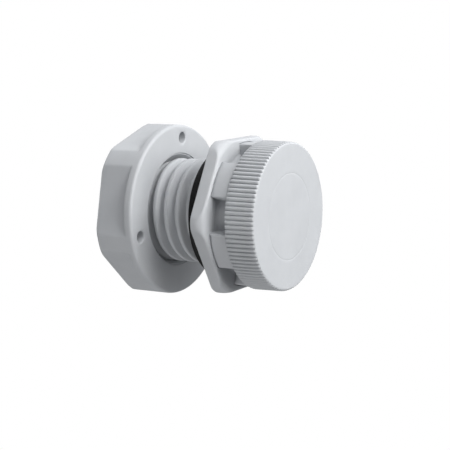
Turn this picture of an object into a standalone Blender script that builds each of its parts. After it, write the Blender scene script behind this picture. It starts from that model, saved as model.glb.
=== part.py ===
"""Screw-in breather plug of the cable gland family, M12 x 1.5, with its lock nut.

The plug's axis is X. The plane X = 0 is the outer face of the panel that the plug is screwed to:
the sealing ring, the hex flange and the cap stand at +X, and the hollow threaded stem runs through
the panel to the lock nut at -X. Sizes are in millimetres and become metres where a mesh is made.
Angles are in degrees about the axis, from -Y (the near side) upwards to +Z.
"""

import math

import bmesh
import bpy

MM = 0.001
SEGMENTS = 72  # facets of a full turn on the large round faces
FINE_SEGMENTS = 48  # facets of a full turn on the small round faces
OVERLAP = 0.3  # how far a joined or cut shape runs past the face that it meets
REST_GAP = 0.05  # clearance between pieces that rest on each other

# Thread, M12 x 1.5, with a rounded moulded profile
PITCH = 1.5
THREAD_CREST_R = 5.95
THREAD_ROOT_R = 5.1
NUT_THREAD_CREST_R = 5.32
NUT_THREAD_ROOT_R = 6.1
CREST_HALF_WIDTH = 0.14
FLANK_SLOPE = math.tan(math.radians(29))
CREST_X = -3.7  # a crest of the stem's thread on the near side
THREAD_STEPS = 36  # facets of one turn of thread

# Sealing ring
SEAL_THICK = 1.7
SEAL_OUTER_R = 7.18
SEAL_INNER_R = 5.35
SEAL_EDGE = 0.15
SEAL_MOUTH_R = 6.05  # the panel side's inner edge is cut back to this, clear of the thread

# Plug body: stem, hex flange, drum with its vent windows
STEM_LENGTH = 10.0  # from the underside of the hex flange
STEM_BORE_R = 3.4
NECK_R = 5.2
FLANGE_X = SEAL_THICK + REST_GAP
FLANGE_THICK = 1.58
FLANGE_FLATS = 17.0
FLANGE_CORNER_DEG = -2.0
FLANGE_CORNER_R = 2.0
FLANGE_ROUND_R = 9.5  # the turned outline that the flange's corners stay inside
FLANGE_CROWN_R = 1.5  # the same outline falls off to the front along this radius
FLANGE_CROWN_START = 1.2  # from here behind the front face
TIP_CHAMFER = 0.5
NECK_TAPER_X = (-0.3, -0.1)  # the core widens to the neck between these stations
THREAD_TIP_GAP = 0.75  # plain stretch between the stem's tip and its thread
THREAD_END_X = -0.7
THREAD_RUN_OUT = 0.25  # turns
THREAD_SINK = 0.2  # how far the thread's foot lies under the surface that carries it
WINDOW_HEIGHT = 2.0
WINDOW_WALL_R = 6.7
WINDOW_FILLET_R = 0.4
DRUM_R = 7.0
DRUM_LEAD_IN = 0.2  # the drum's end is smaller by this, so that the cap slides on
DRUM_TOP_X = 7.35
BLOCK_OUTER_R = 8.1
BLOCK_COUNT = 6
BLOCK_DEG = 31.5
BLOCK_CENTRE_DEG = 34.0
BEAD_R = 7.24
BEAD_ABOVE_WINDOWS = 1.2
BEAD_RAMP = 0.15
POCKET_R = 5.6
POCKET_FLOOR_X = 3.9

# Cap
CAP_BACK_R = 8.38
CAP_FRONT_R = 8.31
CAP_FRONT_X = 8.88
CAP_EDGE_R = 0.3
CAP_WALL = 1.0
CAP_CAVITY_R = 7.45
KNURL_COUNT = 102
KNURL_DEPTH = 0.2
FACE_LINE_R = 4.85
FACE_LINE_WIDTH = 0.16
FACE_LINE_DEPTH = 0.05
LUG_COUNT = 6
LUG_DEG = 20.0
LUG_INNER_R = 7.1
LUG_START = 0.55  # from the cap's back edge
LUG_THICK = 0.45
RIB_TOP_R = (4.9, 5.3)  # splash rib inside the roof
RIB_FOOT_R = (4.8, 5.4)
RIB_HEIGHT = 0.4

# Lock nut
NUT_FACE_X = -5.7
NUT_THICK = 5.0
NUT_FLATS = 18.0
NUT_ROUND_R = 9.83
NUT_EDGE = 0.3  # broken edge of the disc
NUT_BACK_CHAMFER_R = 9.6
NUT_DISC_THICK = 1.03
NUT_FLAT_DEG = 10.2
NUT_BORE_CHAMFER_R = 6.58
NUT_HOLE_R = 0.65
NUT_HOLE_DEPTH = 1.6
NUT_HOLE_CIRCLE_R = 8.3
NUT_HOLE_DEG = (94.8, -16.9, 219.0)
NUT_HOLE_SEGMENTS = 16

# Membrane set, stacked in the drum's pocket from its floor upwards
ORING_SECTION_R = 0.4
ORING_SECTION_SEGMENTS = 12
ORING_CENTRE_R = 4.85
CARRIER_OUTER_R = 5.5
CARRIER_INNER_R = 4.2
CARRIER_THICK = 0.8
CARRIER_CHAMFER = 0.2
SPOKE_WIDTH = 0.6
SPOKE_THICK = 0.5
SPOKE_COUNT = 3
SPOKE_FIRST_DEG = 15
SPOKE_SINK = 0.05  # the spokes' faces lie this far under the ring's
DISC_R = 5.3
BACKING_THICK = 0.15
MEMBRANE_THICK = 0.1
RETAINER_INNER_R = 4.6
RETAINER_THICK = 0.85
RETAINER_FOOT_R = 5.35
RETAINER_LIP = 0.4

# Colours, as linear RGB, and roughness
LIGHT_GREY = (0.62, 0.64, 0.65, 1.0)
INNER_GREY = (0.50, 0.52, 0.53, 1.0)
SEAL_BLACK = (0.016, 0.016, 0.018, 1.0)
MEMBRANE_WHITE = (0.86, 0.86, 0.85, 1.0)
FLEECE_WHITE = (0.72, 0.72, 0.70, 1.0)


def polar(radius, degrees):
    """Y and Z of a point this far from the axis, at this angle from the near side upwards."""
    angle = math.radians(degrees)
    return -radius * math.cos(angle), radius * math.sin(angle)


def clear_scene():
    for old in list(bpy.data.objects):
        bpy.data.objects.remove(old, do_unlink=True)


def make_material(name, colour, roughness):
    material = bpy.data.materials.new(name)
    material.use_nodes = True
    shader = material.node_tree.nodes["Principled BSDF"]
    shader.inputs["Base Color"].default_value = colour
    shader.inputs["Roughness"].default_value = roughness
    shader.inputs["Metallic"].default_value = 0.0
    return material


def make_object(name, bm):
    """Turn a closed bmesh in millimetres into an object in metres, with its faces turned outwards."""
    bmesh.ops.scale(bm, vec=(MM, MM, MM), verts=bm.verts)
    bmesh.ops.recalc_face_normals(bm, faces=bm.faces)
    mesh = bpy.data.meshes.new(name)
    bm.to_mesh(mesh)
    bm.free()
    made = bpy.data.objects.new(name, mesh)
    bpy.context.scene.collection.objects.link(made)
    return made


def lathe(name, profile, segments=SEGMENTS):
    """Spin a closed outline of (x, radius) points about the axis."""
    bm = bmesh.new()
    points = [bm.verts.new((x, -radius, 0.0)) for x, radius in profile]
    lines = [bm.edges.new(pair) for pair in zip(points, points[1:])]
    if profile[0][1] > 0 or profile[-1][1] > 0:
        lines.append(bm.edges.new((points[-1], points[0])))
    bmesh.ops.spin(
        bm,
        geom=points + lines,
        cent=(0, 0, 0),
        axis=(1, 0, 0),
        angle=2 * math.pi,
        steps=segments,
        use_merge=True,
    )
    bmesh.ops.remove_doubles(bm, verts=bm.verts, dist=0.0001)
    return make_object(name, bm)


def prism(name, outline, start_x, end_x):
    """Extrude a closed outline of (y, z) points along the axis."""
    bm = bmesh.new()
    face = bm.faces.new([bm.verts.new((start_x, y, z)) for y, z in outline])
    extruded = bmesh.ops.extrude_face_region(bm, geom=[face])
    moved = [item for item in extruded["geom"] if isinstance(item, bmesh.types.BMVert)]
    bmesh.ops.translate(bm, vec=(end_x - start_x, 0, 0), verts=moved)
    return make_object(name, bm)


def round_hexagon(across_flats, corner_deg, corner_r, steps=6):
    """Outline of a hexagon whose corners are arcs of radius corner_r."""
    centre_r = (across_flats / 2 - corner_r) / math.cos(math.radians(30))
    outline = []
    for side in range(6):
        turn = corner_deg + 60 * side
        centre_y, centre_z = polar(centre_r, turn)
        for i in range(steps + 1):
            dy, dz = polar(corner_r, turn + 60 * (i / steps - 0.5))
            outline.append((centre_y + dy, centre_z + dz))
    return outline


def arc(centre_x, centre_r, radius, start_deg, end_deg, steps=5):
    """Points (x, radius) along an arc in the plane of a lathe outline."""
    points = []
    for i in range(steps + 1):
        angle = math.radians(start_deg + (end_deg - start_deg) * i / steps)
        points.append((centre_x + radius * math.cos(angle), centre_r + radius * math.sin(angle)))
    return points


def ring_block(name, start_x, end_x, inner_r, outer_r, centre_deg, width_deg, steps=6):
    """A block cut out of a ring, with concentric inner and outer walls."""
    turns = [centre_deg + width_deg * (i / steps - 0.5) for i in range(steps + 1)]
    outline = [polar(outer_r, turn) for turn in turns]
    outline += [polar(inner_r, turn) for turn in reversed(turns)]
    return prism(name, outline, start_x, end_x)


def helical_ridge(name, base_r, crest_r, half_width, start_x, end_x, run_out_turns):
    """A right-hand ridge of thread from start_x to end_x. It sinks below base_r over its run-outs."""
    slope_width = half_width + (crest_r - base_r) * FLANK_SLOPE
    first = (CREST_X - start_x) / PITCH
    last = (CREST_X - end_x) / PITCH
    steps = round((first - last) * THREAD_STEPS)
    bm = bmesh.new()
    sections = []
    for i in range(steps + 1):
        turn = first + (last - first) * i / steps
        height = 1.0
        if run_out_turns > 0:
            from_end = min(i, steps - i) / THREAD_STEPS
            height = min(1.0, 0.1 + 0.9 * from_end / run_out_turns)
        y, z = polar(1.0, 360 * turn)
        x = CREST_X - PITCH * turn
        top = base_r + (crest_r - base_r) * height
        corners = (
            (-slope_width, base_r),
            (-half_width, top),
            (half_width, top),
            (slope_width, base_r),
        )
        sections.append([bm.verts.new((x + dx, y * r, z * r)) for dx, r in corners])
    for near, far in zip(sections, sections[1:]):
        for side in range(4):
            after = (side + 1) % 4
            bm.faces.new((near[side], near[after], far[after], far[side]))
    bm.faces.new(sections[0][::-1])
    bm.faces.new(sections[-1])
    return make_object(name, bm)


def boolean(target, tool, operation):
    """Join, cut or intersect the target with a hidden tool object."""
    modifier = target.modifiers.new(tool.name, "BOOLEAN")
    modifier.operation = operation
    modifier.object = tool
    modifier.solver = "EXACT"
    tool.hide_render = True
    tool.display_type = "WIRE"
    tool.parent = target


def finish(piece, material, axis):
    """Give a piece its material and shading, and hang it on the empty of its joint."""
    piece.data.materials.append(material)
    piece.data.shade_smooth()
    piece.data.set_sharp_from_angle(angle=math.radians(30))
    piece.parent = axis
    return piece


def make_axis(name, parent=None):
    """An empty on the plug's axis, which carries the pieces that move together."""
    axis = bpy.data.objects.new(name, None)
    axis.empty_display_size = 5 * MM
    bpy.context.scene.collection.objects.link(axis)
    axis.parent = parent
    return axis


def sealing_ring():
    return lathe(
        "sealing_ring",
        [
            (SEAL_MOUTH_R - SEAL_INNER_R, SEAL_INNER_R),
            (0, SEAL_MOUTH_R),
            (0, SEAL_OUTER_R - SEAL_EDGE),
            (SEAL_EDGE, SEAL_OUTER_R),
            (SEAL_THICK - SEAL_EDGE, SEAL_OUTER_R),
            (SEAL_THICK, SEAL_OUTER_R - SEAL_EDGE),
            (SEAL_THICK, SEAL_INNER_R),
        ],
    )


def vent_body():
    """Stem, hex flange, and the drum whose blocks carry the cap and leave the vent windows."""
    tip_x = FLANGE_X - STEM_LENGTH
    deck_x = FLANGE_X + FLANGE_THICK
    window_top_x = deck_x + WINDOW_HEIGHT
    fillet_x = deck_x - REST_GAP + WINDOW_FILLET_R
    fillet_centre_r = WINDOW_WALL_R + WINDOW_FILLET_R
    bead_x = window_top_x + BEAD_ABOVE_WINDOWS
    body = lathe(
        "vent_body",
        [
            (tip_x, 0),
            (tip_x, THREAD_ROOT_R - TIP_CHAMFER),
            (tip_x + TIP_CHAMFER, THREAD_ROOT_R),
            (NECK_TAPER_X[0], THREAD_ROOT_R),
            (NECK_TAPER_X[1], NECK_R),
            (FLANGE_X, NECK_R),
            (FLANGE_X + OVERLAP, fillet_centre_r),
            *arc(fillet_x, fillet_centre_r, WINDOW_FILLET_R, 180, 270),
            (window_top_x, WINDOW_WALL_R),
            (window_top_x + DRUM_R - WINDOW_WALL_R, DRUM_R),
            (bead_x, DRUM_R),
            (bead_x + BEAD_RAMP, BEAD_R),
            (bead_x + 2 * BEAD_RAMP, BEAD_R),
            (bead_x + 4 * BEAD_RAMP, DRUM_R - DRUM_LEAD_IN),
            (DRUM_TOP_X, DRUM_R - DRUM_LEAD_IN),
            (DRUM_TOP_X, 0),
        ],
    )
    flange = prism(
        "flange_tool",
        round_hexagon(FLANGE_FLATS, FLANGE_CORNER_DEG, FLANGE_CORNER_R),
        FLANGE_X,
        deck_x,
    )
    crown_x = deck_x - FLANGE_CROWN_START
    turned = lathe(
        "flange_round_tool",
        [
            (FLANGE_X - OVERLAP, 0),
            (FLANGE_X - OVERLAP, FLANGE_ROUND_R),
            *arc(crown_x, FLANGE_ROUND_R - FLANGE_CROWN_R, FLANGE_CROWN_R, 90, 20),
            (crown_x + FLANGE_CROWN_R, 0),
        ],
    )
    boolean(flange, turned, "INTERSECT")
    boolean(body, flange, "UNION")
    for number in range(BLOCK_COUNT):
        centre = BLOCK_CENTRE_DEG + number * 360 / BLOCK_COUNT
        block = ring_block(
            f"block_tool_{number}",
            deck_x - OVERLAP,
            window_top_x,
            WINDOW_WALL_R - OVERLAP,
            BLOCK_OUTER_R,
            centre,
            BLOCK_DEG,
        )
        boolean(body, block, "UNION")
    ridge = helical_ridge(
        "stem_thread_tool",
        THREAD_ROOT_R - THREAD_SINK,
        THREAD_CREST_R,
        CREST_HALF_WIDTH,
        tip_x + THREAD_TIP_GAP,
        THREAD_END_X,
        THREAD_RUN_OUT,
    )
    boolean(body, ridge, "UNION")
    bore = lathe(
        "bore_tool",
        [
            (tip_x - OVERLAP, 0),
            (tip_x - OVERLAP, STEM_BORE_R),
            (POCKET_FLOOR_X, STEM_BORE_R),
            (POCKET_FLOOR_X, POCKET_R),
            (DRUM_TOP_X + OVERLAP, POCKET_R),
            (DRUM_TOP_X + OVERLAP, 0),
        ],
        FINE_SEGMENTS,
    )
    boolean(body, bore, "DIFFERENCE")
    return body


def knurled_disc(name, back_x):
    """The cap's outer form: a tapered barrel with V-shaped ridges, a round front edge and a flat face."""
    sections = [(back_x, CAP_BACK_R, KNURL_DEPTH)]
    for degrees in (0, 30, 60, 90):
        angle = math.radians(degrees)
        sections.append(
            (
                CAP_FRONT_X - CAP_EDGE_R * (1 - math.sin(angle)),
                CAP_FRONT_R - CAP_EDGE_R * (1 - math.cos(angle)),
                KNURL_DEPTH * (1 - math.sin(angle)),
            )
        )
    bm = bmesh.new()
    rings = []
    for x, radius, depth in sections:
        ring = []
        for i in range(2 * KNURL_COUNT):
            y, z = polar(radius - depth * (i % 2), 180 * i / KNURL_COUNT)
            ring.append(bm.verts.new((x, y, z)))
        rings.append(ring)
    for near, far in zip(rings, rings[1:]):
        for i in range(2 * KNURL_COUNT):
            after = (i + 1) % (2 * KNURL_COUNT)
            bm.faces.new((near[i], near[after], far[after], far[i]))
    bm.faces.new(rings[0])
    bm.faces.new(rings[-1])
    return make_object(name, bm)


def vent_cap():
    """Knurled cap: a cup with lugs that hook under the drum's bead, and a splash rib inside."""
    back_x = FLANGE_X + FLANGE_THICK + WINDOW_HEIGHT + REST_GAP
    roof_x = CAP_FRONT_X - CAP_WALL
    cap = knurled_disc("vent_cap", back_x)
    cavity = lathe(
        "cavity_tool",
        [
            (back_x - OVERLAP, 0),
            (back_x - OVERLAP, CAP_CAVITY_R),
            (roof_x - CAP_EDGE_R, CAP_CAVITY_R),
            (roof_x, CAP_CAVITY_R - CAP_EDGE_R),
            (roof_x, RIB_FOOT_R[1]),
            (roof_x - RIB_HEIGHT, RIB_TOP_R[1]),
            (roof_x - RIB_HEIGHT, RIB_TOP_R[0]),
            (roof_x, RIB_FOOT_R[0]),
            (roof_x, 0),
        ],
    )
    boolean(cap, cavity, "DIFFERENCE")
    for number in range(LUG_COUNT):
        lug = ring_block(
            f"lug_tool_{number}",
            back_x + LUG_START,
            back_x + LUG_START + LUG_THICK,
            LUG_INNER_R,
            CAP_CAVITY_R + OVERLAP,
            BLOCK_CENTRE_DEG + number * 360 / LUG_COUNT,
            LUG_DEG,
            4,
        )
        boolean(cap, lug, "UNION")
    line = lathe(
        "face_line_tool",
        [
            (CAP_FRONT_X - FACE_LINE_DEPTH, FACE_LINE_R),
            (CAP_FRONT_X + OVERLAP, FACE_LINE_R - FACE_LINE_WIDTH / 2 - OVERLAP),
            (CAP_FRONT_X + OVERLAP, FACE_LINE_R + FACE_LINE_WIDTH / 2 + OVERLAP),
        ],
    )
    boolean(cap, line, "DIFFERENCE")
    return cap


def lock_nut():
    """Hex nut whose corners are turned down to the round disc that bears on the panel."""
    back_x = NUT_FACE_X - NUT_THICK
    disc_back_x = NUT_FACE_X - NUT_DISC_THICK
    chamfer_depth = (NUT_ROUND_R - NUT_BACK_CHAMFER_R) * math.tan(math.radians(30))
    nut = lathe(
        "lock_nut",
        [
            (back_x, 0),
            (back_x, NUT_BACK_CHAMFER_R),
            (back_x + chamfer_depth, NUT_ROUND_R),
            *arc(NUT_FACE_X - NUT_EDGE, NUT_ROUND_R - NUT_EDGE, NUT_EDGE, 90, 0, 2),
            (NUT_FACE_X, 0),
        ],
    )
    for number in range(6):
        flat_deg = NUT_FLAT_DEG + 60 * number
        outline = [
            polar(math.hypot(distance, side), flat_deg + math.degrees(math.atan2(side, distance)))
            for distance, side in (
                (NUT_FLATS / 2, -NUT_ROUND_R),
                (NUT_FLATS / 2, NUT_ROUND_R),
                (NUT_FLATS, NUT_ROUND_R),
                (NUT_FLATS, -NUT_ROUND_R),
            )
        ]
        flat = prism(f"nut_flat_tool_{number}", outline, back_x - OVERLAP, disc_back_x)
        boolean(nut, flat, "DIFFERENCE")
    chamfer = NUT_BORE_CHAMFER_R - NUT_THREAD_CREST_R
    bore = lathe(
        "nut_bore_tool",
        [
            (back_x - OVERLAP, 0),
            (back_x - OVERLAP, NUT_BORE_CHAMFER_R + OVERLAP),
            (back_x + chamfer, NUT_THREAD_CREST_R),
            (NUT_FACE_X - chamfer, NUT_THREAD_CREST_R),
            (NUT_FACE_X + OVERLAP, NUT_BORE_CHAMFER_R + OVERLAP),
            (NUT_FACE_X + OVERLAP, 0),
        ],
        FINE_SEGMENTS,
    )
    boolean(nut, bore, "DIFFERENCE")
    groove = helical_ridge(
        "nut_thread_tool",
        NUT_THREAD_CREST_R - THREAD_SINK,
        NUT_THREAD_ROOT_R,
        PITCH / 2
        - CREST_HALF_WIDTH
        - (NUT_THREAD_ROOT_R - NUT_THREAD_CREST_R) * FLANK_SLOPE,
        back_x - 1.5 * PITCH,
        NUT_FACE_X + 1.5 * PITCH,
        0,
    )
    boolean(nut, groove, "DIFFERENCE")
    for number, degrees in enumerate(NUT_HOLE_DEG):
        y, z = polar(NUT_HOLE_CIRCLE_R, degrees)
        outline = []
        for i in range(NUT_HOLE_SEGMENTS):
            dy, dz = polar(NUT_HOLE_R, i * 360 / NUT_HOLE_SEGMENTS)
            outline.append((y + dy, z + dz))
        hole = prism(
            f"nut_hole_tool_{number}",
            outline,
            NUT_FACE_X - NUT_HOLE_DEPTH,
            NUT_FACE_X + OVERLAP,
        )
        boolean(nut, hole, "DIFFERENCE")
    return nut


def carrier_oring():
    centre_x = POCKET_FLOOR_X + REST_GAP + ORING_SECTION_R
    profile = []
    for i in range(ORING_SECTION_SEGMENTS):
        angle = math.radians(360 * i / ORING_SECTION_SEGMENTS)
        profile.append(
            (
                centre_x + ORING_SECTION_R * math.cos(angle),
                ORING_CENTRE_R + ORING_SECTION_R * math.sin(angle),
            )
        )
    return lathe("carrier_oring", profile, FINE_SEGMENTS)


def carrier_x():
    return POCKET_FLOOR_X + 2 * REST_GAP + 2 * ORING_SECTION_R


def membrane_carrier():
    """Ring with crossed spokes, which hold the membrane against water pressure."""
    start_x = carrier_x()
    end_x = start_x + CARRIER_THICK
    carrier = lathe(
        "membrane_carrier",
        [
            (start_x, CARRIER_INNER_R),
            (start_x, CARRIER_OUTER_R - CARRIER_CHAMFER),
            (start_x + CARRIER_CHAMFER, CARRIER_OUTER_R),
            (end_x, CARRIER_OUTER_R),
            (end_x, CARRIER_INNER_R),
        ],
        FINE_SEGMENTS,
    )
    reach = (CARRIER_INNER_R + CARRIER_OUTER_R) / 2
    for number in range(SPOKE_COUNT):
        turn = SPOKE_FIRST_DEG + number * 180 / SPOKE_COUNT
        half = math.degrees(math.asin(SPOKE_WIDTH / 2 / reach))
        outline = [
            polar(reach, turn - half),
            polar(reach, turn + half),
            polar(reach, turn + 180 - half),
            polar(reach, turn + 180 + half),
        ]
        spoke = prism(
            f"spoke_tool_{number}", outline, end_x - SPOKE_THICK, end_x - SPOKE_SINK
        )
        boolean(carrier, spoke, "UNION")
    return carrier


def flat_disc(name, start_x, thickness):
    return lathe(
        name,
        [
            (start_x, 0),
            (start_x, DISC_R),
            (start_x + thickness, DISC_R),
            (start_x + thickness, 0),
        ],
        FINE_SEGMENTS,
    )


def retaining_ring(start_x):
    end_x = start_x + RETAINER_THICK
    return lathe(
        "retaining_ring",
        [
            (start_x, RETAINER_INNER_R),
            (start_x, RETAINER_FOOT_R),
            (start_x + CARRIER_CHAMFER, CARRIER_OUTER_R),
            (end_x, CARRIER_OUTER_R),
            (end_x, RETAINER_INNER_R + RETAINER_LIP),
            (end_x - RETAINER_LIP, RETAINER_INNER_R),
        ],
        FINE_SEGMENTS,
    )


def build():
    clear_scene()
    housing = make_material("housing_grey", LIGHT_GREY, 0.5)
    inner = make_material("inner_grey", INNER_GREY, 0.5)
    seal = make_material("seal_rubber", SEAL_BLACK, 0.65)
    film = make_material("membrane_film", MEMBRANE_WHITE, 0.7)
    fleece = make_material("backing_fleece", FLEECE_WHITE, 0.9)

    nut_axis = make_axis("nut_axis")
    seal_axis = make_axis("seal_axis", nut_axis)
    plug_axis = make_axis("plug_axis", seal_axis)

    finish(lock_nut(), housing, nut_axis)
    finish(sealing_ring(), seal, seal_axis)
    finish(vent_body(), housing, plug_axis)
    finish(vent_cap(), housing, plug_axis)
    finish(carrier_oring(), seal, plug_axis)
    finish(membrane_carrier(), inner, plug_axis)

    backing_x = carrier_x() + CARRIER_THICK + REST_GAP
    membrane_x = backing_x + BACKING_THICK + REST_GAP
    retainer_x = membrane_x + MEMBRANE_THICK + REST_GAP
    finish(flat_disc("membrane_backing", backing_x, BACKING_THICK), fleece, plug_axis)
    finish(flat_disc("membrane", membrane_x, MEMBRANE_THICK), film, plug_axis)
    finish(retaining_ring(retainer_x), inner, plug_axis)


build()
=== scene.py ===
"""Looks of the M12 x 1.5 breather plug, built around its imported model.

Each visible moulded piece is rebuilt as one closed mesh: a grid of rows (x and radius, in
millimetres) over columns (angles about the X axis). The pieces of the membrane set stay as the
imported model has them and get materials. Angles are in degrees, from -Y (the near side) upwards.
"""

import math

import bmesh
import bpy
import numpy as np
from mathutils import Matrix, Vector


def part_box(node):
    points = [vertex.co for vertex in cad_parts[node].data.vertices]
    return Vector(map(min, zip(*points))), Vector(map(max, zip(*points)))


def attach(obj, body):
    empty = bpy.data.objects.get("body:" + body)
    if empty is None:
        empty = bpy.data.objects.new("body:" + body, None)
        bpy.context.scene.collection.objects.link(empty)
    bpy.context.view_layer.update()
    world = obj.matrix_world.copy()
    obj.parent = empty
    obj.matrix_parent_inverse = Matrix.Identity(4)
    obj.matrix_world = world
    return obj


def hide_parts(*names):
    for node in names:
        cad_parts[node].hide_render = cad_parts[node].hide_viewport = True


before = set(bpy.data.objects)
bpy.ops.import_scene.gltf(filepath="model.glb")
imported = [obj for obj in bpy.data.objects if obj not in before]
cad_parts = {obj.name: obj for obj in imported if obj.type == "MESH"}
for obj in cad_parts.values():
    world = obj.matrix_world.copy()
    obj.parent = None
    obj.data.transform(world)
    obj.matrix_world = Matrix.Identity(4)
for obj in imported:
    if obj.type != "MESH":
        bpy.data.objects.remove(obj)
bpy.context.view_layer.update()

MM = 0.001
MERGE_DISTANCE = 0.0005 * MM

# Camera, as a turn about the object, and the point that it looks at
CAMERA_AZIMUTH = 30.85
CAMERA_ELEVATION = 6.96
CAMERA_ROLL = 0.13
CAMERA_LENS = 104.0
CAMERA_SENSOR = 36.0
CAMERA_DISTANCE = 151.5 * MM
CAMERA_AIM = Vector((-1.01, 2.54, -1.83)) * MM
CAMERA_NEAR = 1 * MM
CAMERA_FAR = 50.0

# Light tent: its brightness, and its opening's direction and brightness. The light fades between
# two values of the cosine to that direction: the tent's edge and the opening's core.
TENT_LIGHT = 1.2
TENT_COLOUR = (0.97, 0.98, 1.0, 1.0)
TENT_OPENING = (-0.1, -0.99, -0.1)
TENT_OPENING_LIGHT = 0.03
TENT_EDGE = -0.15
TENT_OPENING_CORE = 0.8
WHITE = (1.0, 1.0, 1.0, 1.0)

# Floor: its height, half of its width in metres, and its colour as the object's light sees it
FLOOR_Z = -150 * MM
FLOOR_HALF = 8.0
FLOOR_SHADE = (0.28, 0.28, 0.28, 1.0)

# Colours, each with the second one that its pattern blends in. Specks are the first one, darker
# by this share.
HOUSING_GREY = (0.415, 0.428, 0.446)
HOUSING_SHADE = (0.39, 0.402, 0.42)
INNER_GREY = (0.42, 0.44, 0.45)
INNER_SHADE = (0.38, 0.40, 0.41)
SPECK_SHARE = 0.2
RUBBER_BLACK = (0.005, 0.005, 0.005)
RUBBER_BLOOM = (0.014, 0.014, 0.015)
FILM_WHITE = (0.86, 0.86, 0.85)
FILM_SHADE = (0.76, 0.76, 0.75)
FLEECE_WHITE = (0.74, 0.74, 0.72)
FLEECE_SHADE = (0.56, 0.56, 0.54)

# Stations along the axis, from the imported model. The panel's outer face, where the seal rests, is 0.
PANEL_X = 0.0
TIP_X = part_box("vent_body")[0].x / MM
DRUM_TOP_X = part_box("vent_body")[1].x / MM
SEAL_FRONT_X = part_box("sealing_ring")[1].x / MM
CAP_BACK_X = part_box("vent_cap")[0].x / MM
CAP_FACE_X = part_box("vent_cap")[1].x / MM
NUT_BACK_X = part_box("lock_nut")[0].x / MM
NUT_FACE_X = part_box("lock_nut")[1].x / MM
REST_GAP = 0.05
FLANGE_X = SEAL_FRONT_X + REST_GAP
BLOCK_TOP_X = CAP_BACK_X - REST_GAP
BLOCK_HEIGHT = 2.0
DECK_X = BLOCK_TOP_X - BLOCK_HEIGHT

# Thread
PITCH = 1.5
CREST_X = -3.7
CREST_HALF_WIDTH = 0.14
STEM_CREST_HALF_WIDTH = 0.2
FLANK_SLOPE = math.tan(math.radians(29))
THREAD_CREST_R = 5.95
THREAD_ROOT_R = 5.1
THREAD_SINK = 0.2
THREAD_TIP_GAP = 0.75
THREAD_START_X = TIP_X + THREAD_TIP_GAP
THREAD_END_X = -0.7
THREAD_END_HEIGHT = 0.1
THREAD_RUN_OUT = 0.25
THREAD_STEP = 0.07
STEM_CREST_BLEND = 0.12
STEM_CORE_BLEND = 0.04
NUT_THREAD_CREST_R = 5.32
NUT_THREAD_ROOT_R = 6.1
NUT_GROOVE_BLEND = 0.15

# Body
TIP_CHAMFER = 0.5
TIP_EDGE = 0.12
NECK_R = 5.2
NECK_TAPER_X = (-0.3, -0.1)
NECK_FOOT = 0.15
BORE_R = 3.4
BORE_EDGE = 0.1
FLANGE_FLATS = 17.0
FLANGE_FLAT_DEG = 28.0
FLANGE_CORNER_R = 2.0
FLANGE_ROUND_R = 9.5
FLANGE_CROWN_R = 1.5
FLANGE_CROWN_LENGTH = 1.2
FLANGE_CROWN_X = DECK_X - FLANGE_CROWN_LENGTH
FLANGE_CROWN_BLEND = 0.12
FLANGE_UNDERSIDE_RING_R = 7.0
FLANGE_BACK_EDGE_R = 0.1
FLANGE_FRONT_EDGE_R = 0.3
BLOCK_CENTRE_DEG = 34.0
BLOCK_HALF_DEG = 15.75
BLOCK_R = 8.1
BLOCK_CORNER_R = 0.12
BLOCK_TOP_EDGE_R = 0.15
BLOCK_FOOT = 0.1
BLOCK_TOP_RINGS = (7.7, 7.5, 7.3, 7.0, 6.75)
# Extra columns beside each end of a block, in degrees from the end
BLOCK_COLUMNS = (-1.8, -1.2, -0.8, -0.4, -0.03, 0.03, 0.4, 0.8, 1.2, 1.8)
GROOVE_DEPTH = 0.15
# Section of the groove round a block: height from the deck, and distance out from the wall
GROOVE_SECTION = (
    (-0.03, 0.07),
    (-GROOVE_DEPTH, 0.05),
    (-GROOVE_DEPTH, -0.02),
    (-0.01, -0.03),
    (0.05, -0.02),
)
DECK_RINGS = (8.19, 8.16, 8.12, 8.0, 7.8, 7.5, 7.3, 7.2)
WINDOW_WALL_R = 6.7
WINDOW_WALL_EDGE = 0.05
WINDOW_FILLET_R = 0.4
DRUM_R = 7.0
DRUM_EDGE = 0.1
DRUM_LEAD_IN = 0.2
BEAD_R = 7.24
BEAD_ABOVE_BLOCKS = 1.2
BEAD_RAMP = 0.15
POCKET_R = 5.6
POCKET_FLOOR_X = 3.9

# Cap
CAP_BACK_R = 8.38
CAP_FRONT_R = 8.31
CAP_EDGE_R = 0.3
CAP_BACK_EDGE_R = 0.15
CAP_WALL = 1.0
CAVITY_R = 7.45
CAVITY_EDGE = 0.07
KNURL_COUNT = 102
KNURL_DEPTH = 0.2
KNURL_SHARPNESS = 0.7
KNURL_END_DEPTH = 0.02
COLUMNS_PER_RIDGE = 8
FACE_RINGS_INSIDE = (0.6, 1.6, 3.0, 4.2, 4.6)
FACE_RINGS_OUTSIDE = (5.2, 6.2, 7.2, 7.8)
FACE_LINE_R = 4.85
FACE_LINE_DEPTH = 0.018
# Section of the line on the cap's face: distance from its middle, and share of its depth
FACE_LINE_SECTION = ((-0.1, 0), (-0.06, 0.3), (-0.02, 1), (0.02, 1), (0.06, 0.3), (0.1, 0))
LUG_HALF_DEG = 10.0
LUG_FLANK_DEG = 0.45
LUG_R = 7.1
LUG_START = 0.55
LUG_THICK = 0.45
LUG_STEP = 0.01
ROOF_FILLET = 0.3
ROOF_FILLET_MIDDLE = (0.1, 0.08)
ROOF_HUB_R = 1.0
RIB_OUTER_R = 5.4
RIB_INNER_R = 4.8
RIB_HEIGHT = 0.4
RIB_TAPER = 0.1

# Nut
NUT_FLATS = 18.0
NUT_FLAT_DEG = 10.2
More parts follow.
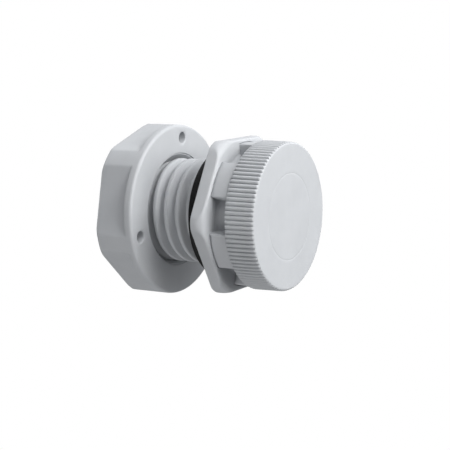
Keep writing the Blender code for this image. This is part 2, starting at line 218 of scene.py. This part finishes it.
# Extra columns beside each end of a flat, in degrees from the end
NUT_FLAT_COLUMNS = (-0.5, -0.2, 0.0, 0.3)
NUT_CORNER_R = 0.5
NUT_CORNER_BLEND = 0.1
NUT_ROUND_R = 9.83
NUT_FACE_RINGS = (7.3, 8.3, 9.2)
NUT_FACE_EDGE_R = 0.36
NUT_DISC_THICK = 1.03
NUT_DISC_X = NUT_FACE_X - NUT_DISC_THICK
NUT_DISC_EDGE = 0.12
# Section of the disc's back edge: height from the disc's back, and share of the edge's width
NUT_DISC_SECTION = ((0.4, 0), (0.13, 0), (0.04, 0.3), (0.0, 1))
NUT_DISC_FILLET = 0.08
NUT_DISC_FILLET_SHARE = 0.4
NUT_FLAT_START = 0.3
NUT_BACK_R = 9.6
NUT_BACK_SLOPE = math.tan(math.radians(30))
NUT_BACK_BLEND = 0.15
NUT_BACK_LEAD = 0.1
NUT_BACK_OVERLAP = 0.02  # how far the chamfer's first row lies over the end of the flats
NUT_BACK_RINGS = (9.0, 7.2)
NUT_BORE_R = 6.58
NUT_BORE_EDGE = 0.03
NUT_BORE_BLEND = 0.06
NUT_STEP_DEPTH = 0.12
NUT_STEP_WIDTH = 0.18
NUT_HOLE_R = 0.65
NUT_HOLE_DEPTH = 1.6
NUT_HOLE_CIRCLE_R = 8.3
NUT_HOLE_DEG = (94.8, -16.9, 219.0)
# The pin that cuts a hole: height from the nut's face, and how much wider than the hole it is
NUT_HOLE_SECTION = (
    (0.2, 0.3),
    (0.0, 0.1),
    (-0.05, 0.03),
    (-0.12, 0.0),
    (-NUT_HOLE_DEPTH + 0.1, -0.04),
    (-NUT_HOLE_DEPTH, -0.14),
)

# Sealing ring
SEAL_OUTER_R = 7.18
SEAL_INNER_R = 5.35
SEAL_MOUTH_R = 6.05
SEAL_EDGE_R = 0.22
SEAL_INNER_EDGE_R = 0.1
SEAL_MOUTH_EDGE = 0.05


def polar(radius, degrees):
    """Y and Z of a point this far from the axis, at this angle from the near side upwards."""
    angle = np.radians(degrees)
    return -radius * np.cos(angle), radius * np.sin(angle)


def soft_min(a, b, width):
    """The smaller of two values, with a round change from one to the other."""
    share = np.clip(0.5 + 0.5 * (b - a) / width, 0, 1)
    return b * (1 - share) + a * share - width * share * (1 - share)


def soft_max(a, b, width):
    return -soft_min(-a, -b, width)


def arc_rows(centre_x, centre_r, radius, start_deg, end_deg, steps):
    """Rows along an arc in the plane of the profile. centre_r may be one value for each column."""
    rows = []
    for angle in np.radians(np.linspace(start_deg, end_deg, steps + 1)):
        rows.append((centre_x + radius * math.cos(angle), centre_r + radius * math.sin(angle)))
    return rows


def revolve(name, angles, rows, poles=False):
    """One closed mesh from rows of (x, radius), each one value or one for each column.

    The rows form a closed loop, or with poles they run from one point on the axis to another.
    """
    count = len(angles)
    points = []
    for x, radius in rows:
        y, z = polar(np.broadcast_to(radius, count), angles)
        points.append(np.stack([np.broadcast_to(x, count), y, z], axis=1))
    vertices = np.concatenate(points)
    row_pairs = [(i, i + 1) for i in range(len(rows) - 1)]
    if not poles:
        row_pairs.append((len(rows) - 1, 0))
    faces = []
    for near, far in row_pairs:
        for j in range(count):
            after = (j + 1) % count
            faces.append(
                (near * count + j, near * count + after, far * count + after, far * count + j)
            )
    if poles:
        ends = [(float(np.max(rows[i][0])), 0.0, 0.0) for i in (0, -1)]
        vertices = np.concatenate([vertices, ends])
        last = (len(rows) - 1) * count
        for j in range(count):
            after = (j + 1) % count
            faces.append((j, after, len(vertices) - 2))
            faces.append((last + after, last + j, len(vertices) - 1))
    mesh = bpy.data.meshes.new(name)
    mesh.from_pydata((vertices * MM).tolist(), [], faces)
    bm = bmesh.new()
    bm.from_mesh(mesh)
    bmesh.ops.remove_doubles(bm, verts=bm.verts, dist=MERGE_DISTANCE)
    bmesh.ops.recalc_face_normals(bm, faces=bm.faces)
    bm.to_mesh(mesh)
    bm.free()
    piece = bpy.data.objects.new(name, mesh)
    bpy.context.scene.collection.objects.link(piece)
    return piece


def smooth(piece, sharp_deg=38):
    piece.data.shade_smooth()
    piece.data.set_sharp_from_angle(angle=math.radians(sharp_deg))


def columns(step, edges=(), offsets=()):
    """Angles of the columns: an even step, and more of them beside each edge."""
    angles = list(np.arange(0, 360, step))
    for edge in edges:
        angles += [(edge + offset) % 360 for offset in offsets]
    return np.unique(np.round(angles, 4))


def crest_distance(x, angles):
    """Distance along the axis to the nearest crest of the thread, and the turn that it is on."""
    turns = angles / 360
    nearest = turns + np.round((CREST_X - x) / PITCH - turns)
    return np.abs(x - (CREST_X - PITCH * nearest)), nearest


def stem_thread_r(x, angles):
    """Radius of the stem's thread. The ridge sinks into the stem at both of its ends."""
    base = THREAD_ROOT_R - THREAD_SINK
    distance, turn = crest_distance(x, angles)
    first = (CREST_X - THREAD_START_X) / PITCH
    last = (CREST_X - THREAD_END_X) / PITCH
    from_end = np.minimum(first - turn, turn - last)
    grown = THREAD_END_HEIGHT + (1 - THREAD_END_HEIGHT) * from_end / THREAD_RUN_OUT
    height = np.clip(grown, 0, 1)
    foot = STEM_CREST_HALF_WIDTH + (THREAD_CREST_R - base) * FLANK_SLOPE
    flank = (foot - distance) / (foot - STEM_CREST_HALF_WIDTH)
    rise = soft_min(flank, 1.0, STEM_CREST_BLEND)
    return base + (THREAD_CREST_R - base) * height * np.clip(rise, 0, 1)


def nut_thread_r(x, angles):
    """Radius of the nut's thread, whose grooves lie round the stem's crests."""
    distance, _ = crest_distance(x, angles)
    depth = NUT_THREAD_ROOT_R - NUT_THREAD_CREST_R
    floor = PITCH / 2 - CREST_HALF_WIDTH - depth * FLANK_SLOPE
    rise = 1 - (distance - floor) / (depth * FLANK_SLOPE)
    return NUT_THREAD_CREST_R + depth * np.clip(soft_min(rise, 1.0, NUT_GROOVE_BLEND), 0, 1)


def hexagon_r(angles, flats, flat_deg, corner_r):
    """Radius of a hexagon's outline with round corners."""
    from_flat = np.radians(np.abs((angles - flat_deg + 30) % 60 - 30))
    half = flats / 2
    centre = (half - corner_r) / math.cos(math.radians(30))
    from_corner = math.radians(30) - from_flat
    reach = np.sqrt(np.maximum(corner_r**2 - (centre * np.sin(from_corner)) ** 2, 0))
    on_corner = centre * np.cos(from_corner) + reach
    straight = half / np.cos(from_flat)
    return np.where(half * np.tan(from_flat) < centre / 2, straight, on_corner)


def stem_rows(angles):
    """Tip, thread and neck, from the bore's mouth to the underside of the flange."""
    rows = [(TIP_X + TIP_EDGE, BORE_R), (TIP_X, BORE_R + TIP_EDGE)]
    core_x = (TIP_X, TIP_X + TIP_CHAMFER, *NECK_TAPER_X, FLANGE_X)
    core_r = (THREAD_ROOT_R - TIP_CHAMFER, THREAD_ROOT_R, THREAD_ROOT_R, NECK_R, NECK_R)
    steps = round((PANEL_X - TIP_X) / THREAD_STEP)
    for x in np.linspace(TIP_X, PANEL_X, steps + 1):
        core = np.interp(x, core_x, core_r)
        rows.append((x, soft_max(core, stem_thread_r(x, angles), STEM_CORE_BLEND)))
    rows.append((FLANGE_X - NECK_FOOT, NECK_R))
    rows.append((FLANGE_X, NECK_R + NECK_FOOT))
    return rows


def flange_rows(angles):
    """The hexagon's edge. Its corners stay inside a turned outline that falls off to the front."""
    hexagon = hexagon_r(angles, FLANGE_FLATS, FLANGE_FLAT_DEG, FLANGE_CORNER_R)

    def side(x):
        past = max(0.0, x - FLANGE_CROWN_X)
        turned = FLANGE_ROUND_R - FLANGE_CROWN_R + math.sqrt(FLANGE_CROWN_R**2 - past**2)
        return soft_min(hexagon, turned, FLANGE_CROWN_BLEND)

    edge = FLANGE_BACK_EDGE_R
    rows = [(FLANGE_X, FLANGE_UNDERSIDE_RING_R)]
    for turn in np.radians(np.linspace(0, 90, 5)):
        x = FLANGE_X + edge * (1 - math.cos(turn))
        rows.append((x, side(x) - edge * (1 - math.sin(turn))))
    edge = FLANGE_FRONT_EDGE_R
    for x in np.linspace(FLANGE_X + FLANGE_BACK_EDGE_R, DECK_X - edge, 12)[1:-1]:
        rows.append((x, side(x)))
    for turn in np.radians(np.linspace(0, 90, 8)):
        x = DECK_X - edge * (1 - math.sin(turn))
        rows.append((x, side(x) - edge * (1 - math.cos(turn))))
    return rows


def window_rows(angles):
    """The wall between deck and cap: six blocks, each in a fine groove, with windows between."""
    from_centre = np.abs((angles - BLOCK_CENTRE_DEG + 30) % 60 - 30)
    inside = np.radians(BLOCK_HALF_DEG - from_centre) * BLOCK_R
    is_block = inside > 0
    corner = np.clip(BLOCK_CORNER_R - inside, 0, BLOCK_CORNER_R)
    wall = BLOCK_R - BLOCK_CORNER_R + np.sqrt(BLOCK_CORNER_R**2 - corner**2)

    fillet_r = WINDOW_WALL_R + WINDOW_FILLET_R
    window = [(DECK_X, r) for r in DECK_RINGS]
    window += arc_rows(DECK_X + WINDOW_FILLET_R, fillet_r, WINDOW_FILLET_R, 180, 270, 9)
    wall_x = np.linspace(DECK_X + WINDOW_FILLET_R, BLOCK_TOP_X - WINDOW_WALL_EDGE, 7)[1:]
    window += [(x, WINDOW_WALL_R) for x in wall_x]
    window.append((BLOCK_TOP_X, WINDOW_WALL_R + WINDOW_WALL_EDGE))

    block = [(DECK_X, DECK_RINGS[0])]
    block += [(DECK_X + height, wall + out) for height, out in GROOVE_SECTION]
    side_x = np.linspace(DECK_X + BLOCK_FOOT, BLOCK_TOP_X - BLOCK_TOP_EDGE_R, 9)
    block += [(x, wall) for x in side_x]
    for turn in np.radians(np.linspace(0, 90, 6)[1:]):
        x = BLOCK_TOP_X - BLOCK_TOP_EDGE_R * (1 - math.sin(turn))
        block.append((x, wall - BLOCK_TOP_EDGE_R * (1 - math.cos(turn))))
    block += [(BLOCK_TOP_X, r) for r in BLOCK_TOP_RINGS]
    rows = []
    for (block_x, block_r), (open_x, open_r) in zip(block, window, strict=True):
        x = np.where(is_block, block_x, open_x)
        rows.append((x, np.where(is_block, block_r, open_r)))
    return rows


def drum_rows():
    """The drum inside the cap, with its snap bead, then the pocket and the bore."""
    bead_x = BLOCK_TOP_X + BEAD_ABOVE_BLOCKS
    top_r = DRUM_R - DRUM_LEAD_IN
    return [
        (BLOCK_TOP_X + WINDOW_WALL_EDGE, WINDOW_WALL_R + 2 * WINDOW_WALL_EDGE),
        (BLOCK_TOP_X + DRUM_R - WINDOW_WALL_R, DRUM_R),
        (bead_x, DRUM_R),
        (bead_x + BEAD_RAMP, BEAD_R),
        (bead_x + 2 * BEAD_RAMP, BEAD_R),
        (bead_x + 4 * BEAD_RAMP, top_r),
        (DRUM_TOP_X - DRUM_EDGE, top_r),
        (DRUM_TOP_X, top_r - DRUM_EDGE),
        (DRUM_TOP_X, POCKET_R + DRUM_EDGE),
        (DRUM_TOP_X - DRUM_EDGE, POCKET_R),
        (POCKET_FLOOR_X, POCKET_R),
        (POCKET_FLOOR_X, BORE_R + BORE_EDGE),
        (POCKET_FLOOR_X - BORE_EDGE, BORE_R),
        (PANEL_X, BORE_R),
        (TIP_X / 2, BORE_R),
    ]


def make_body():
    """Threaded stem, hex flange, blocks and drum in one closed mesh."""
    block_edges = [
        BLOCK_CENTRE_DEG + 60 * number + side * BLOCK_HALF_DEG
        for number in range(6)
        for side in (-1, 1)
    ]
    angles = columns(1.0, block_edges, BLOCK_COLUMNS)
    rows = stem_rows(angles) + flange_rows(angles) + window_rows(angles) + drum_rows()
    body = revolve("body_moulding", angles, rows)
    smooth(body)
    return body


def make_cap():
    """Knurled cup. Its ridges run out over the round front edge, and six lugs stand in its wall."""
    count = KNURL_COUNT * COLUMNS_PER_RIDGE
    angles = np.arange(count) * 360 / count
    ridge = np.abs(np.cos(np.radians(angles * KNURL_COUNT / 2))) ** KNURL_SHARPNESS
    valley = 1 - ridge
    rows = [(CAP_FACE_X, r) for r in FACE_RINGS_INSIDE]
    for offset, share in FACE_LINE_SECTION:
        rows.append((CAP_FACE_X - share * FACE_LINE_DEPTH, FACE_LINE_R + offset))
    rows += [(CAP_FACE_X, r) for r in FACE_RINGS_OUTSIDE]
    for turn in np.radians(np.linspace(90, 0, 9)):
        x = CAP_FACE_X - CAP_EDGE_R * (1 - math.sin(turn))
        depth = KNURL_DEPTH * (1 - math.sin(turn) ** 2)
        rows.append((x, CAP_FRONT_R - CAP_EDGE_R * (1 - math.cos(turn)) - depth * valley))
    edge = CAP_BACK_EDGE_R
    for share in np.linspace(0, 1, 7)[1:]:
        x = CAP_FACE_X - CAP_EDGE_R
        x += share * (CAP_BACK_X + edge - x)
        radius = CAP_FRONT_R + share * (CAP_BACK_R - CAP_FRONT_R)
        rows.append((x, radius - KNURL_DEPTH * valley))
    for turn in np.radians((30, 60, 90)):
        x = CAP_BACK_X + edge * (1 - math.sin(turn))
        crest_r = CAP_BACK_R - edge * (1 - math.cos(turn))
        valley_r = CAP_BACK_R - KNURL_DEPTH * valley - KNURL_END_DEPTH
        rows.append((x, np.minimum(crest_r, valley_r)))
    rows.append((CAP_BACK_X, CAVITY_R + CAVITY_EDGE))
    rows.append((CAP_BACK_X + CAVITY_EDGE, CAVITY_R))

    from_lug = np.abs((angles - BLOCK_CENTRE_DEG + 30) % 60 - 30)
    lug = np.clip((LUG_HALF_DEG - from_lug) / LUG_FLANK_DEG + 0.5, 0, 1)
    lug_r = CAVITY_R - (CAVITY_R - LUG_R) * lug
    lug_x = CAP_BACK_X + LUG_START
    roof_x = CAP_FACE_X - CAP_WALL
    rows += [
        (lug_x, CAVITY_R),
        (lug_x + LUG_STEP, lug_r),
        (lug_x + LUG_THICK - LUG_STEP, lug_r),
        (lug_x + LUG_THICK, CAVITY_R),
        (roof_x - ROOF_FILLET, CAVITY_R),
        (roof_x - ROOF_FILLET_MIDDLE[0], CAVITY_R - ROOF_FILLET_MIDDLE[1]),
        (roof_x, CAVITY_R - ROOF_FILLET),
        (roof_x, RIB_OUTER_R),
        (roof_x - RIB_HEIGHT, RIB_OUTER_R - RIB_TAPER),
        (roof_x - RIB_HEIGHT, RIB_INNER_R + RIB_TAPER),
        (roof_x, RIB_INNER_R),
        (roof_x, ROOF_HUB_R),
    ]
    cap = revolve("cap_moulding", angles, rows, poles=True)
    smooth(cap, sharp_deg=50)
    return cap


def cut(piece, tool):
    """Take the tool's shape out of a piece, and delete the tool."""
    modifier = piece.modifiers.new("cut", "BOOLEAN")
    modifier.operation = "DIFFERENCE"
    modifier.solver = "EXACT"
    modifier.object = tool
    evaluated = piece.evaluated_get(bpy.context.evaluated_depsgraph_get())
    cut_mesh = bpy.data.meshes.new_from_object(evaluated)
    bm = bmesh.new()
    bm.from_mesh(cut_mesh)
    bmesh.ops.dissolve_degenerate(bm, edges=bm.edges, dist=MERGE_DISTANCE)
    bm.to_mesh(cut_mesh)
    bm.free()
    piece.modifiers.clear()
    old_mesh = piece.data
    piece.data = cut_mesh
    bpy.data.meshes.remove(old_mesh)
    bpy.data.objects.remove(tool, do_unlink=True)


def hole_tool(degrees):
    """A round pin with a flared mouth, which leaves a blind hole with a broken edge."""
    sections = [(height, NUT_HOLE_R + wider) for height, wider in NUT_HOLE_SECTION]
    tool = revolve("hole_tool", columns(7.5), sections, poles=True)
    y, z = polar(NUT_HOLE_CIRCLE_R, degrees)
    tool.data.transform(Matrix.Translation(Vector((NUT_FACE_X, y, z)) * MM))
    return tool


def make_nut():
    """Hexagon behind a round disc, with a chamfered back, a stepped bore and three blind holes."""
    flat_half_deg = math.degrees(math.acos(NUT_FLATS / 2 / NUT_ROUND_R))
    flat_ends = [
        NUT_FLAT_DEG + 60 * number + side * flat_half_deg
        for number in range(6)
        for side in (-1, 1)
    ]
    angles = columns(0.75, flat_ends, NUT_FLAT_COLUMNS)
    hexagon = hexagon_r(angles, NUT_FLATS, NUT_FLAT_DEG, NUT_CORNER_R)
    behind = soft_min(hexagon, NUT_ROUND_R, NUT_CORNER_BLEND)
    step = np.clip(NUT_ROUND_R - behind, 0, 1)
    edge = NUT_FACE_EDGE_R
    rows = [(NUT_FACE_X, r) for r in (NUT_BORE_R, *NUT_FACE_RINGS)]
    rows += arc_rows(NUT_FACE_X - edge, NUT_ROUND_R - edge, edge, 0, 90, 7)
    disc_edge = np.minimum(NUT_DISC_EDGE, step)
    for height, share in NUT_DISC_SECTION:
        rows.append((NUT_DISC_X + height, NUT_ROUND_R - share * disc_edge))
    fillet = np.minimum(NUT_DISC_FILLET, NUT_DISC_FILLET_SHARE * step)
    rows.append((NUT_DISC_X - 0.01, behind + fillet))
    rows.append((NUT_DISC_X - NUT_DISC_FILLET, behind))

    chamfer_depth = (NUT_ROUND_R - NUT_BACK_R) * NUT_BACK_SLOPE
    chamfer_start_x = NUT_BACK_X + chamfer_depth + NUT_BACK_LEAD
    for x in np.linspace(NUT_DISC_X - NUT_FLAT_START, chamfer_start_x, 6):
        rows.append((x, behind))
    for share in np.linspace(0, 1, 12):
        x = chamfer_start_x + share * (NUT_BACK_X - chamfer_start_x)
        cone = NUT_BACK_R + (x - NUT_BACK_X) / NUT_BACK_SLOPE
        overlap = NUT_BACK_OVERLAP * (1 - share)
        rows.append((x + overlap, soft_min(behind, cone, NUT_BACK_BLEND)))
    rows += [(NUT_BACK_X, r) for r in NUT_BACK_RINGS]

    ring_x = NUT_FACE_X - NUT_STEP_DEPTH
    ring_r = NUT_BORE_R - NUT_STEP_WIDTH
    steps = round((ring_x - NUT_BACK_X) / THREAD_STEP)
    for x in np.linspace(NUT_BACK_X, ring_x, steps + 1):
        mouth = max(NUT_BORE_R - (x - NUT_BACK_X), ring_r - (ring_x - x))
        rows.append((x, soft_max(nut_thread_r(x, angles), mouth, NUT_BORE_BLEND)))
    rows.append((ring_x, NUT_BORE_R - NUT_BORE_EDGE))
    rows.append((ring_x + NUT_BORE_EDGE, NUT_BORE_R - 0.01))
    rows.append((NUT_FACE_X - NUT_BORE_EDGE, NUT_BORE_R - 0.01))
    nut = revolve("nut_moulding", angles, rows)
    for degrees in NUT_HOLE_DEG:
        cut(nut, hole_tool(degrees))
    smooth(nut)
    return nut


def make_seal():
    """Flat rubber ring with round edges, cut back inside where it would meet the thread."""
    edge = SEAL_EDGE_R
    rows = arc_rows(SEAL_FRONT_X - edge, SEAL_OUTER_R - edge, edge, 0, 90, 6)
    rows.append((SEAL_FRONT_X / 2, SEAL_OUTER_R))
    rows += arc_rows(PANEL_X + edge, SEAL_OUTER_R - edge, edge, 90, 180, 6)
    rows.append((PANEL_X, SEAL_MOUTH_R + SEAL_MOUTH_EDGE))
    rows.append((PANEL_X + 0.03, SEAL_MOUTH_R - 0.02))
    rows.append((PANEL_X + SEAL_MOUTH_R - SEAL_INNER_R, SEAL_INNER_R))
    edge = SEAL_INNER_EDGE_R
    rows += arc_rows(SEAL_FRONT_X - edge, SEAL_INNER_R + edge, edge, 270, 360, 3)
    seal = revolve("seal_moulding", columns(1.5), rows)
    smooth(seal, sharp_deg=60)
    return seal


class Nodes:
    """A material's node tree, with short calls to add to it."""

    def __init__(self, name):
        self.material = bpy.data.materials.new(name)
        self.material.use_nodes = True
        self.tree = self.material.node_tree
        self.shader = self.tree.nodes["Principled BSDF"]
        self.position = self.add("ShaderNodeTexCoord").outputs["Object"]

    def add(self, kind, **settings):
        node = self.tree.nodes.new(kind)
        for key, value in settings.items():
            setattr(node, key, value)
        return node

    def link(self, source, target):
        self.tree.links.new(source, target)

    def noise(self, size_mm, detail=3.0, roughness=0.55, distortion=0.0):
        """Noise whose blotches are about this size."""
        node = self.add("ShaderNodeTexNoise")
        node.inputs["Scale"].default_value = 1 / (size_mm * MM)
        node.inputs["Detail"].default_value = detail
        node.inputs["Roughness"].default_value = roughness
        node.inputs["Distortion"].default_value = distortion
        self.link(self.position, node.inputs["Vector"])
        return node.outputs["Fac"]

    def spread(self, value, low, high, to_low, to_high):
        """Map a value from one range to another, held inside it."""
        node = self.add("ShaderNodeMapRange")
        for key, number in (
            ("From Min", low),
            ("From Max", high),
            ("To Min", to_low),
            ("To Max", to_high),
        ):
            node.inputs[key].default_value = number
        self.link(value, node.inputs["Value"])
        return node.outputs["Result"]

    def mix(self, share, first, second):
        """Blend two colours, each given as a tuple or as another node's output."""
        node = self.add("ShaderNodeMix", data_type="RGBA")
        self.link(share, node.inputs["Factor"])
        for key, colour in (("A", first), ("B", second)):
            socket = [s for s in node.inputs if s.name == key and s.type == "RGBA"][0]
            if isinstance(colour, tuple):
                socket.default_value = (*colour, 1.0)
            else:
                self.link(colour, socket)
        return [s for s in node.outputs if s.type == "RGBA"][0]

    def bump(self, height, depth_mm, strength, under=None):
        """Relief of this depth. It may lie over another one."""
        node = self.add("ShaderNodeBump")
        node.inputs["Distance"].default_value = depth_mm * MM
        node.inputs["Strength"].default_value = strength
        self.link(height, node.inputs["Height"])
        if under is not None:
            self.link(under, node.inputs["Normal"])
        return node.outputs["Normal"]


def moulded_plastic(name, colour, shade):
    """Satin moulded polyamide: fine grain, faint flow marks and a few darker specks."""
    nodes = Nodes(name)
    clouds = nodes.spread(nodes.noise(size_mm=3.5, detail=4.0), 0.35, 0.7, 0.0, 1.0)
    base = nodes.mix(clouds, colour, shade)
    specks = nodes.spread(nodes.noise(size_mm=0.16, detail=2.0), 0.62, 0.75, 0.0, 0.25)
    base = nodes.mix(specks, base, tuple((1 - SPECK_SHARE) * part for part in colour))
    nodes.link(base, nodes.shader.inputs["Base Color"])
    rough = nodes.spread(nodes.noise(size_mm=1.1, detail=4.0), 0.3, 0.7, 0.5, 0.62)
    nodes.link(rough, nodes.shader.inputs["Roughness"])
    waves = nodes.bump(nodes.noise(size_mm=1.6, detail=2.0), depth_mm=0.02, strength=0.25)
    fine = nodes.noise(size_mm=0.09, detail=3.0, roughness=0.6)
    grain = nodes.bump(fine, depth_mm=0.006, strength=0.5, under=waves)
    nodes.link(grain, nodes.shader.inputs["Normal"])
    nodes.shader.inputs["IOR"].default_value = 1.5
    return nodes.material


def rubber(name):
    """Dull black rubber with a dusty bloom and a fine grain."""
    nodes = Nodes(name)
    dust = nodes.noise(size_mm=0.9, detail=5.0, roughness=0.65)
    bloom = nodes.spread(dust, 0.4, 0.75, 0.0, 1.0)
    base = nodes.mix(bloom, RUBBER_BLACK, RUBBER_BLOOM)
    nodes.link(base, nodes.shader.inputs["Base Color"])
    rough = nodes.spread(nodes.noise(size_mm=0.5, detail=3.0), 0.3, 0.7, 0.5, 0.7)
    nodes.link(rough, nodes.shader.inputs["Roughness"])
    waves = nodes.bump(nodes.noise(size_mm=0.7, detail=2.0), depth_mm=0.03, strength=0.3)
    fine = nodes.noise(size_mm=0.07, detail=3.0, roughness=0.6)
    grain = nodes.bump(fine, depth_mm=0.008, strength=0.6, under=waves)
    nodes.link(grain, nodes.shader.inputs["Normal"])
    nodes.shader.inputs["Specular IOR Level"].default_value = 0.15
    return nodes.material


def fibrous(name, colour, shade, fibre_mm):
    """Film or fleece of tangled fibres."""
    nodes = Nodes(name)
    fibres = nodes.noise(size_mm=fibre_mm, detail=6.0, roughness=0.7, distortion=2.0)
    share = nodes.spread(fibres, 0.35, 0.65, 0.0, 1.0)
    nodes.link(nodes.mix(share, shade, colour), nodes.shader.inputs["Base Color"])
    relief = nodes.bump(fibres, depth_mm=0.02, strength=0.6)
    nodes.link(relief, nodes.shader.inputs["Normal"])
    rough = nodes.spread(fibres, 0.3, 0.7, 0.75, 0.95)
    nodes.link(rough, nodes.shader.inputs["Roughness"])
    return nodes.material


def paint(piece, material):
    piece.data.materials.clear()
    piece.data.materials.append(material)


def place(piece, body, node, material):
    """Hang a finished piece on its body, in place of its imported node."""
    paint(piece, material)
    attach(piece, body)
    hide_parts(node)


def make_object():
    housing = moulded_plastic("housing_polyamide", HOUSING_GREY, HOUSING_SHADE)
    inner = moulded_plastic("inner_polyamide", INNER_GREY, INNER_SHADE)
    seal = rubber("seal_rubber")
    film = fibrous("membrane_film", FILM_WHITE, FILM_SHADE, fibre_mm=0.08)
    fleece = fibrous("backing_fleece", FLEECE_WHITE, FLEECE_SHADE, fibre_mm=0.2)

    place(make_nut(), "lock_nut", "lock_nut", housing)
    place(make_seal(), "sealing_ring", "sealing_ring", seal)
    place(make_body(), "plug", "vent_body", housing)
    place(make_cap(), "plug", "vent_cap", housing)

    kept = {
        "membrane_carrier": inner,
        "carrier_oring": seal,
        "membrane_backing": fleece,
        "membrane": film,
        "retaining_ring": inner,
    }
    for node, material in kept.items():
        paint(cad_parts[node], material)


def direction(azimuth_deg, elevation_deg):
    """Unit vector away from the object, turned from -Y towards +X and raised by these angles."""
    azimuth = math.radians(azimuth_deg)
    elevation = math.radians(elevation_deg)
    level = math.cos(elevation)
    return Vector((math.sin(azimuth) * level, -math.cos(azimuth) * level, math.sin(elevation)))


def make_camera():
    back = direction(CAMERA_AZIMUTH, CAMERA_ELEVATION)
    right = direction(CAMERA_AZIMUTH + 90, 0)
    roll = Matrix.Rotation(math.radians(CAMERA_ROLL), 3, "Z")
    turned = Matrix((right, back.cross(right), back)).transposed() @ roll
    data = bpy.data.cameras.new("camera")
    data.lens = CAMERA_LENS
    data.sensor_width = CAMERA_SENSOR
    data.clip_start = CAMERA_NEAR
    data.clip_end = CAMERA_FAR
    camera = bpy.data.objects.new("camera", data)
    camera.matrix_world = Matrix.Translation(CAMERA_AIM + back * CAMERA_DISTANCE) @ turned.to_4x4()
    bpy.context.scene.collection.objects.link(camera)
    bpy.context.scene.camera = camera


def area_light(name, azimuth, elevation, distance_mm, size_mm, watts, colour=(1.0, 1.0, 1.0)):
    """A soft square light that faces the object, from this side and height."""
    data = bpy.data.lights.new(name, "AREA")
    data.shape = "SQUARE"
    data.size = size_mm * MM
    data.energy = watts
    data.color = colour
    light = bpy.data.objects.new(name, data)
    away = direction(azimuth, elevation)
    light.location = away * distance_mm * MM
    light.rotation_euler = away.to_track_quat("Z", "Y").to_euler()
    bpy.context.scene.collection.objects.link(light)


def make_lights():
    """Each light's azimuth, elevation, distance and size in millimetres, and power in watts."""
    area_light("key", 82, 30, 220, 160, 0.58, colour=(1.0, 0.995, 0.98))
    area_light("top", 45, 60, 220, 160, 0.15)
    area_light("low_fill", -15, -42, 160, 60, 0.085)


def make_world():
    """White to the camera. As a light it is a white tent that is open, and dark, at the near side."""
    world = bpy.data.worlds.new("studio")
    bpy.context.scene.world = world
    world.use_nodes = True
    tree = world.node_tree
    tree.nodes.clear()
    output = tree.nodes.new("ShaderNodeOutputWorld")
    mix = tree.nodes.new("ShaderNodeMixShader")
    seen = tree.nodes.new("ShaderNodeBackground")
    lit = tree.nodes.new("ShaderNodeBackground")
    path = tree.nodes.new("ShaderNodeLightPath")
    view = tree.nodes.new("ShaderNodeTexCoord")
    towards = tree.nodes.new("ShaderNodeVectorMath")
    towards.operation = "DOT_PRODUCT"
    towards.inputs[1].default_value = TENT_OPENING
    ramp = tree.nodes.new("ShaderNodeMapRange")
    ramp.inputs["From Min"].default_value = TENT_EDGE
    ramp.inputs["From Max"].default_value = TENT_OPENING_CORE
    ramp.inputs["To Min"].default_value = TENT_LIGHT
    ramp.inputs["To Max"].default_value = TENT_OPENING_LIGHT
    seen.inputs["Color"].default_value = WHITE
    seen.inputs["Strength"].default_value = 1.0
    lit.inputs["Color"].default_value = TENT_COLOUR
    tree.links.new(view.outputs["Generated"], towards.inputs[0])
    tree.links.new(towards.outputs["Value"], ramp.inputs["Value"])
    tree.links.new(ramp.outputs["Result"], lit.inputs["Strength"])
    tree.links.new(path.outputs["Is Camera Ray"], mix.inputs["Fac"])
    tree.links.new(lit.outputs[0], mix.inputs[1])
    tree.links.new(seen.outputs[0], mix.inputs[2])
    tree.links.new(mix.outputs[0], output.inputs["Surface"])


def make_floor():
    """A wide floor, white to the camera, far enough below to keep its shadow out of the view."""
    mesh = bpy.data.meshes.new("floor")
    signs = [(-1, -1), (1, -1), (1, 1), (-1, 1)]
    corners = [(x * FLOOR_HALF, y * FLOOR_HALF, FLOOR_Z) for x, y in signs]
    mesh.from_pydata(corners, [], [(0, 1, 2, 3)])
    floor = bpy.data.objects.new("floor", mesh)
    bpy.context.scene.collection.objects.link(floor)
    material = bpy.data.materials.new("floor_white")
    material.use_nodes = True
    tree = material.node_tree
    tree.nodes.clear()
    output = tree.nodes.new("ShaderNodeOutputMaterial")
    mix = tree.nodes.new("ShaderNodeMixShader")
    path = tree.nodes.new("ShaderNodeLightPath")
    seen = tree.nodes.new("ShaderNodeEmission")
    lit = tree.nodes.new("ShaderNodeBsdfDiffuse")
    seen.inputs["Color"].default_value = WHITE
    seen.inputs["Strength"].default_value = 1.0
    lit.inputs["Color"].default_value = FLOOR_SHADE
    tree.links.new(path.outputs["Is Camera Ray"], mix.inputs["Fac"])
    tree.links.new(lit.outputs[0], mix.inputs[1])
    tree.links.new(seen.outputs[0], mix.inputs[2])
    tree.links.new(mix.outputs[0], output.inputs["Surface"])
    floor.data.materials.append(material)


bpy.context.scene.view_settings.view_transform = "Standard"
make_object()
make_camera()
make_lights()
make_world()
make_floor()
